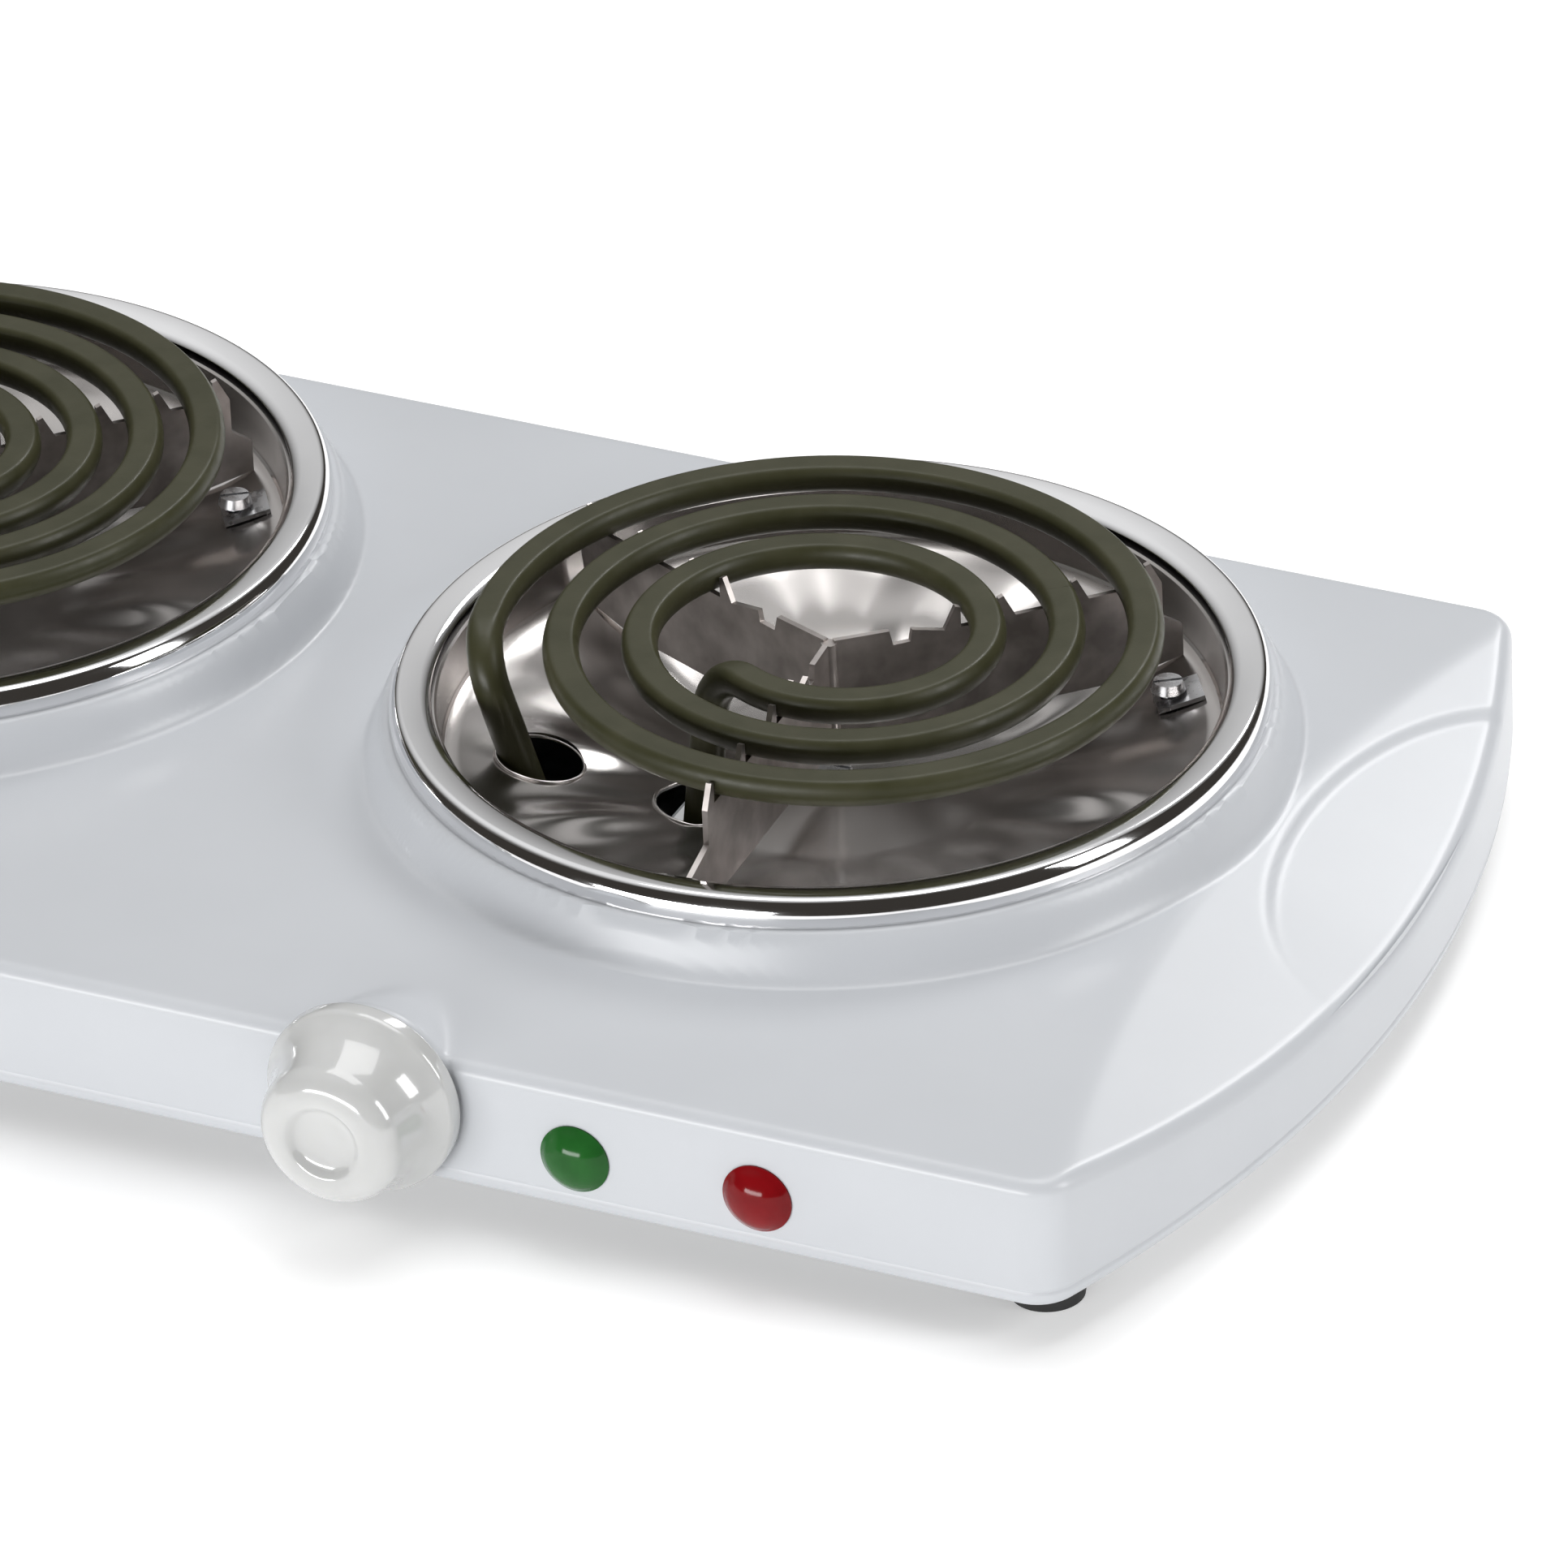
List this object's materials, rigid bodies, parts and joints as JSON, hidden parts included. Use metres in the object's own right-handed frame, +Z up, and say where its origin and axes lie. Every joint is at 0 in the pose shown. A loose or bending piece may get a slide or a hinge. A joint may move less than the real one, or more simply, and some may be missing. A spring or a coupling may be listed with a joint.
{
  "type": "hot plate burner",
  "caption": "Electric hot plate burner: a low pressed housing with spiral heating elements over drip bowls, chrome trim rings, turning control knobs and indicator lamps.",
  "frame": {"origin": "middle of the feet's resting plane, under the centre of the bounding box", "axes": "+X along the length to the right, -Y to the front with the knobs, +Z up"},
  "size_m": [0.478, 0.263, 0.0645],
  "materials": {
    "housing": "gloss white enamel",
    "bottom_cover": "zinc plated",
    "foot": "matte black",
    "ring": "polished",
    "bowl": "polished, lightly used",
    "bush": "glazed ceramic",
    "pin": "bright",
    "element": "oxidised dark olive sheath",
    "support": "heat tinted sheet",
    "zinc": "zinc plated",
    "contact": "rolled strip",
    "switch_body": "steatite",
    "cam": "moulded phenolic",
    "knob": "gloss creamy white",
    "lamp_lens_green": "tinted translucent",
    "lamp_lens_red": "tinted translucent",
    "lamp_body": "moulded",
    "block": "moulded",
    "wire_brown": "insulated",
    "wire_black": "insulated",
    "wire_red": "insulated",
    "wire_white": "insulated",
    "wire_green": "insulated",
    "earth_screw": "bright",
    "gland": "moulded black"
  },
  "bodies": {
    "base": {"housing": "housing", "bottom_cover": "bottom_cover", "foot_front_left": "foot", "foot_front_right": "foot", "foot_rear_left": "foot", "foot_rear_right": "foot", "foot_screws": "zinc", "cover_screws": "zinc", "trim_ring_left": "ring", "trim_ring_right": "ring", "drip_bowl_left": "bowl", "drip_bowl_right": "bowl", "burner_strap_left": "zinc", "burner_strap_right": "zinc", "bowl_centre_screws": "zinc", "coil_left": "element", "coil_right": "element", "coil_bushes_left": "bush", "coil_bushes_right": "bush", "coil_pins_left": "pin", "coil_pins_right": "pin", "support_strip_left": "support", "support_strip_right": "support", "support_leg_left": "support", "support_leg_right": "support", "bowl_clip_left": "zinc", "bowl_clip_right": "zinc", "bowl_clip_screws": "zinc", "thermostat_left": "switch_body", "thermostat_right": "switch_body", "thermostat_bracket_left": "zinc", "thermostat_bracket_right": "zinc", "thermostat_nuts": "zinc", "thermostat_blades_left": "contact", "thermostat_blades_right": "contact", "lamp_lens_green": "lamp_lens_green", "lamp_lens_red": "lamp_lens_red", "lamp_body_green": "lamp_body", "lamp_body_red": "lamp_body", "terminal_block": "block", "wire_supply_left": "wire_brown", "wire_supply_right": "wire_black", "wire_switched_left": "wire_red", "wire_switched_right": "wire_red", "wire_return_left": "wire_white", "wire_return_right": "wire_white", "earth_wire": "wire_green", "earth_screw": "earth_screw", "cord_gland": "gland"},
    "knob_left_body": {"knob_left": "knob", "knob_spring_left": "zinc", "control_shaft_left": "zinc", "switch_cam_left": "cam"},
    "knob_right_body": {"knob_right": "knob", "knob_spring_right": "zinc", "control_shaft_right": "zinc", "switch_cam_right": "cam"}
  },
  "joints": [
    {"name": "knob_left_turn", "type": "hinge", "parent": "base", "child": "knob_left_body", "pos_m": [-0.0695, -0.1095, 0.0275], "axis": [0, 1, 0], "range_deg": [0, 280]},
    {"name": "knob_right_turn", "type": "hinge", "parent": "base", "child": "knob_right_body", "pos_m": [0.0695, -0.1095, 0.0275], "axis": [0, 1, 0], "range_deg": [0, 280]}
  ]
}
